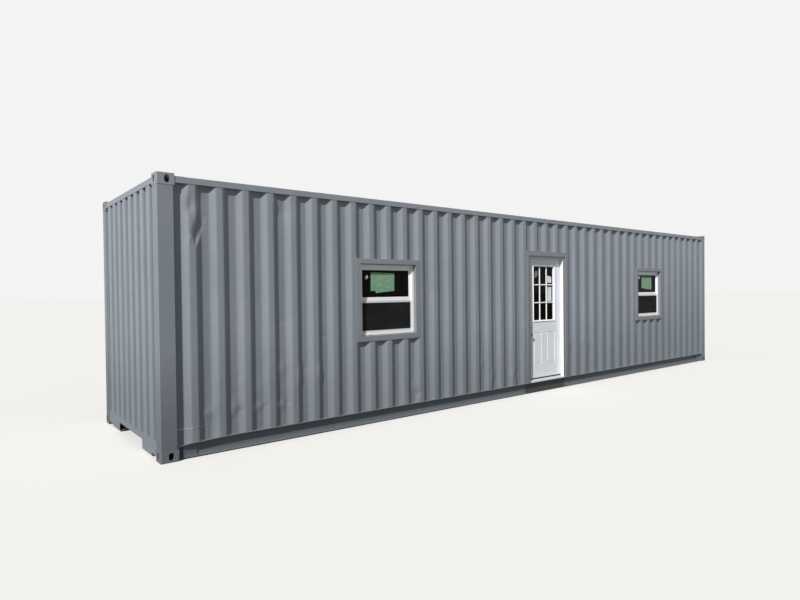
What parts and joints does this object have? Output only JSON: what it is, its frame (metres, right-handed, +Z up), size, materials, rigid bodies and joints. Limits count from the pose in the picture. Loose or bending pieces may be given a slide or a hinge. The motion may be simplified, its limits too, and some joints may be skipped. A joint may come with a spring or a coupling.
{
  "type": "shipping container cabin",
  "caption": "Long corrugated steel container cabin with a glazed entry door and two hung windows in one side, cargo doors at the far end, and a boarded floor.",
  "frame": {"origin": "ground level below the centre of the container", "axes": "+X along the container from its blind end to its cargo doors, -Y towards the entry door's side, +Z up"},
  "size_m": [12.192, 2.438, 2.896],
  "materials": {
    "container_paint": "blue-grey container paint, dulled",
    "surround_paint": "grey paint on welded tube",
    "underframe_paint": "dark underframe paint, matt",
    "floor_wood": "oiled plywood boards",
    "seal_rubber": "matt rubber",
    "galvanised_steel": "galvanised, dull",
    "white_paint": "white satin paint",
    "white_vinyl": "white vinyl, satin",
    "window_glass": "clear sealed pane over a dark room",
    "screen_mesh": "dark insect mesh in a slim frame",
    "threshold_aluminium": "mill aluminium",
    "hinge_steel": "satin steel",
    "lock_metal": "dark satin lock furniture"
  },
  "bodies": {
    "cabin": {"bottom_fittings": "container_paint", "top_fittings": "container_paint", "front_posts": "container_paint", "rear_posts": "container_paint", "top_side_rails": "container_paint", "bottom_side_rails": "container_paint", "front_top_rail": "container_paint", "front_sill": "container_paint", "rear_header": "container_paint", "rear_sill": "container_paint", "front_wall": "container_paint", "far_wall": "container_paint", "entry_wall_left": "container_paint", "entry_wall_over_door": "container_paint", "entry_wall_right": "container_paint", "roof": "container_paint", "roof_guards": "container_paint", "cross_members": "underframe_paint", "gooseneck_tunnel": "underframe_paint", "floor_boards": "floor_wood", "cargo_door_left": "container_paint", "cargo_door_right": "container_paint", "cargo_seals": "seal_rubber", "lock_rods": "galvanised_steel", "lock_brackets": "galvanised_steel", "lock_handles": "galvanised_steel", "cargo_hinges": "container_paint", "window_1_surround": "surround_paint", "window_1_frame": "white_vinyl", "window_1_sashes": "white_vinyl", "window_1_glass": "window_glass", "window_1_screen": "screen_mesh", "window_2_surround": "surround_paint", "window_2_frame": "white_vinyl", "window_2_sashes": "white_vinyl", "window_2_glass": "window_glass", "window_2_screen": "screen_mesh", "entry_surround": "surround_paint", "entry_frame": "white_paint", "entry_threshold": "threshold_aluminium", "entry_hinges_fixed": "hinge_steel"},
    "entry_door": {"door_leaf": "white_paint", "door_lite": "white_vinyl", "door_glass": "window_glass", "door_hinges": "hinge_steel", "door_lockset": "lock_metal"},
    "knob": {"door_knob": "lock_metal"}
  },
  "joints": [
    {"name": "entry_door_swing", "type": "hinge", "parent": "cabin", "child": "entry_door", "pos_m": [0.6035, -1.0805, 1.213], "axis": [0, 0, -1], "range_deg": [0, 110]},
    {"name": "knob_turn", "type": "hinge", "parent": "entry_door", "child": "knob", "pos_m": [-0.241, -1.10925, 0.9545], "axis": [0, -1, 0], "range_deg": [-60, 60], "stiffness_Nm_per_rad": 0.25}
  ]
}
